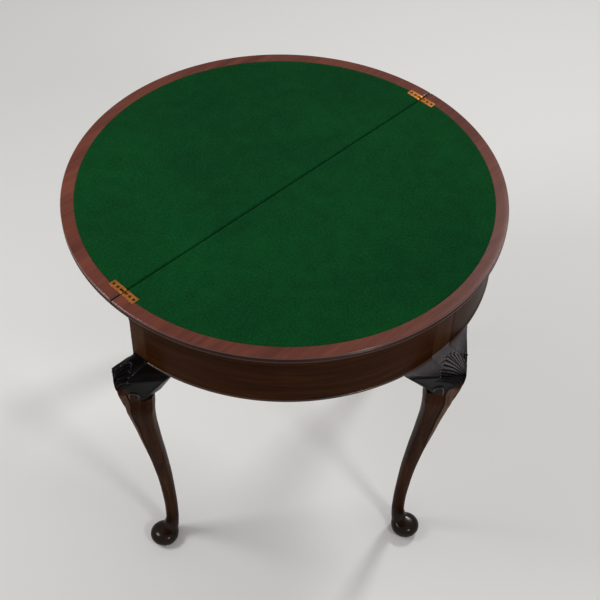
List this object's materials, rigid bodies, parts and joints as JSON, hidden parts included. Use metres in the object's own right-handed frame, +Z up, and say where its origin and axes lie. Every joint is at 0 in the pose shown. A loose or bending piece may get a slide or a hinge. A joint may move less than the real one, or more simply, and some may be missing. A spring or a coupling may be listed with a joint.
{
  "type": "demi-lune card table",
  "caption": "Half-round card table shown open: two hinged leaves lined with baize, a bowed frieze, cabriole legs with carved knees and pad feet, and a fly leg under the open leaf.",
  "frame": {"origin": "on the floor, under the middle of the whole table's bounding box", "axes": "+Z up, +X along the fold towards the right-hand hinge, -Y towards the bowed front and its leg, +Y towards the open folding leaf"},
  "size_m": [0.8964, 0.8888, 0.731],
  "materials": {
    "top_mahogany": "satin french polish",
    "frame_mahogany": "satin french polish",
    "carved_mahogany": "glossy dark polish",
    "baize": "green wool baize",
    "brass": "worn satin brass",
    "steel": "dull steel",
    "secondary_wood": "bare, aged"
  },
  "bodies": {
    "frame": {"fixed_leaf": "top_mahogany", "fixed_baize": "baize", "left_hinge_fixed_plate": "brass", "right_hinge_fixed_plate": "brass", "left_hinge_fixed_pin": "steel", "right_hinge_fixed_pin": "steel", "left_hinge_fixed_screw_1": "brass", "left_hinge_fixed_screw_2": "brass", "right_hinge_fixed_screw_1": "brass", "right_hinge_fixed_screw_2": "brass", "frieze_top_rail": "frame_mahogany", "left_frieze_rail": "frame_mahogany", "right_frieze_rail": "frame_mahogany", "left_frieze_bead": "frame_mahogany", "right_frieze_bead": "frame_mahogany", "front_leg": "frame_mahogany", "left_leg": "frame_mahogany", "right_leg": "frame_mahogany", "front_left_ear": "carved_mahogany", "front_right_ear": "carved_mahogany", "left_ear": "carved_mahogany", "right_ear": "carved_mahogany", "glue_block_1": "secondary_wood", "glue_block_2": "secondary_wood", "glue_block_3": "secondary_wood", "glue_block_4": "secondary_wood", "top_screw_1": "steel", "top_screw_2": "steel", "top_screw_3": "steel", "top_screw_4": "steel", "back_rail": "secondary_wood", "fixed_fly_rail": "secondary_wood", "fly_screw_1": "steel", "fly_screw_2": "steel", "fly_screw_3": "steel", "knuckle_pin": "steel"},
    "hinge_links": {"left_hinge_link": "brass", "right_hinge_link": "brass"},
    "flap": {"folding_leaf": "top_mahogany", "folding_baize": "baize", "left_hinge_folding_plate": "brass", "right_hinge_folding_plate": "brass", "left_hinge_folding_pin": "steel", "right_hinge_folding_pin": "steel", "left_hinge_folding_screw_1": "brass", "left_hinge_folding_screw_2": "brass", "right_hinge_folding_screw_1": "brass", "right_hinge_folding_screw_2": "brass"},
    "fly_gate": {"fly_rail": "secondary_wood", "fly_leg": "frame_mahogany"}
  },
  "joints": [
    {"name": "link_swing", "type": "hinge", "parent": "frame", "child": "hinge_links", "pos_m": [0, 0.00105, 0.7266], "axis": [1, 0, 0], "range_deg": [0, 90]},
    {"name": "flap_fold", "type": "hinge", "parent": "hinge_links", "child": "flap", "pos_m": [0, 0.01045, 0.7266], "axis": [1, 0, 0], "range_deg": [0, 90]},
    {"name": "fly_swing", "type": "hinge", "parent": "frame", "child": "fly_gate", "pos_m": [0.112, -0.00475, 0.66275], "axis": [0, 0, 1], "range_deg": [0, 90]}
  ],
  "couplings": [
    {"joint": "link_swing", "follows": "flap_fold", "ratio": 1}
  ]
}
